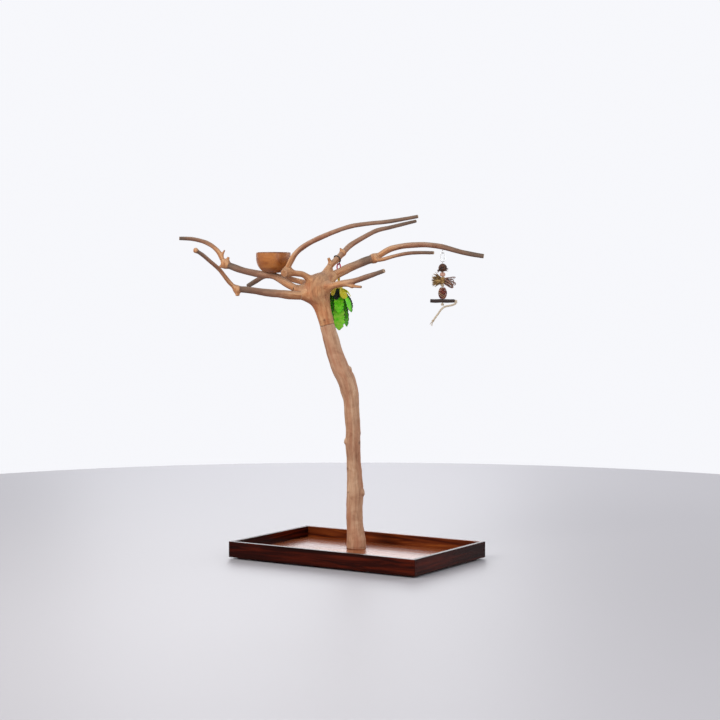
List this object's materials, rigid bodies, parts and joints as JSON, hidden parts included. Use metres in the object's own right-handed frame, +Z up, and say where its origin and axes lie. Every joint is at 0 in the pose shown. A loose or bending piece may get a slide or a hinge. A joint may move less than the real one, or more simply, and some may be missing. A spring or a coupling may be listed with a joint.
{
  "type": "parrot play stand",
  "caption": "Branching hardwood perch tree on a shallow lacquered floor tray, with a turned food bowl and hanging toys for a pet parrot.",
  "frame": {"origin": "on the floor under the centre of the trunk's foot, in the underside of the trunk pad", "axes": "+Z up, +X along the tray's long side towards the hanging natural toy, +Y across the tray to its back"},
  "size_m": [1.2033, 0.9858, 1.4478],
  "materials": {
    "tray_lacquer": "gloss",
    "panel_lacquer": "gloss",
    "underside_wood": "matte",
    "tree_wood": "matte",
    "crown_wood": "matte",
    "bowl_wood": "satin",
    "dowel_wood": "matte",
    "pad_rubber": "matte",
    "glide_plastic": "matte",
    "zinc_steel": "satin",
    "ball_vine": "matte",
    "bead_wood": "satin",
    "palm_leaf": "matte",
    "wicker_vine": "matte",
    "stick_wood": "matte",
    "cord_fibre": "matte",
    "ring_plastic": "gloss",
    "strap_leather": "satin",
    "cap_plastic": "gloss",
    "green_leather": "satin",
    "dark_leather": "satin",
    "yellow_leather": "satin"
  },
  "bodies": {
    "stand": {"front_rail": "tray_lacquer", "right_rail": "tray_lacquer", "back_rail": "tray_lacquer", "left_rail": "tray_lacquer", "mitre_keys": "tray_lacquer", "base_panel": "panel_lacquer", "corner_blocks": "underside_wood", "block_screws": "zinc_steel", "floor_glides": "glide_plastic", "glide_nails": "zinc_steel", "anchor_plate": "zinc_steel", "trunk_pad": "pad_rubber", "lag_screws": "zinc_steel", "lag_washers": "zinc_steel", "trunk": "tree_wood", "crown": "crown_wood", "crown_bolt": "zinc_steel", "crown_dowels": "dowel_wood", "limb_bolts": "zinc_steel", "perch_bolts": "zinc_steel", "left_rear_limb": "tree_wood", "left_rear_perch": "tree_wood", "left_front_limb": "tree_wood", "left_front_perch": "tree_wood", "rear_limb": "tree_wood", "rear_right_limb": "tree_wood", "right_limb": "tree_wood", "right_perch": "tree_wood", "right_lower_perch": "tree_wood", "front_right_limb": "tree_wood", "front_arch_limb": "tree_wood", "bowl_washer": "zinc_steel", "bowl_screw": "zinc_steel", "screw_eye": "zinc_steel", "hanger_loop": "zinc_steel"},
    "bowl": {"bowl": "bowl_wood"},
    "quick_link": {"quick_link": "zinc_steel"},
    "link_sleeve": {"link_sleeve": "zinc_steel"},
    "natural_toy": {"ball_eye": "zinc_steel", "top_ball": "ball_vine", "toy_cord": "cord_fibre", "palm_bow": "palm_leaf", "cord_knots": "cord_fibre"},
    "wood_bead": {"wood_bead": "bead_wood"},
    "wicker_ball": {"wicker_ball": "wicker_vine"},
    "perch_stick": {"perch_stick": "stick_wood", "end_knot": "cord_fibre", "tail_rope": "cord_fibre", "tail_knot": "cord_fibre"},
    "colour_ring": {"colour_ring": "ring_plastic"},
    "colour_toy": {"toy_strap": "strap_leather", "leaf_cap": "cap_plastic", "green_leaves": "green_leather", "dark_leaves": "dark_leather", "yellow_leaves": "yellow_leather"}
  },
  "joints": [
    {"name": "bowl_turn", "type": "hinge", "parent": "stand", "child": "bowl", "pos_m": [-0.31802, -0.15983, 1.208], "axis": [0, 0, 1], "continuous": true},
    {"name": "link_swing", "type": "hinge", "parent": "stand", "child": "quick_link", "pos_m": [0.2908, 0.23384, 1.29034], "axis": [-0.5395, 0.842, 0], "range_deg": [-40, 40]},
    {"name": "sleeve_slide", "type": "slide", "parent": "quick_link", "child": "link_sleeve", "axis": [0, 0, 1], "range_m": [0, 0.008]},
    {"name": "toy_swing", "type": "hinge", "parent": "quick_link", "child": "natural_toy", "pos_m": [0.2908, 0.23384, 1.25639], "axis": [0.842, 0.5395, 0], "range_deg": [-40, 40]},
    {"name": "bead_spin", "type": "hinge", "parent": "natural_toy", "child": "wood_bead", "pos_m": [0.2908, 0.23384, 1.08779], "axis": [0, 0, 1], "continuous": true},
    {"name": "wicker_spin", "type": "hinge", "parent": "natural_toy", "child": "wicker_ball", "pos_m": [0.2908, 0.23384, 1.08779], "axis": [0, 0, 1], "continuous": true},
    {"name": "stick_turn", "type": "hinge", "parent": "natural_toy", "child": "perch_stick", "pos_m": [0.2908, 0.23384, 1.08779], "axis": [0, 0, 1], "continuous": true},
    {"name": "ring_swing", "type": "hinge", "parent": "stand", "child": "colour_ring", "pos_m": [-0.11441, 0.03937, 1.24399], "axis": [0.4594, 0.8882, 0], "range_deg": [-12, 25]},
    {"name": "colour_toy_swing", "type": "hinge", "parent": "colour_ring", "child": "colour_toy", "pos_m": [-0.11441, 0.03937, 1.21879], "axis": [-0.8882, 0.4594, 0], "range_deg": [-28, 4]}
  ]
}
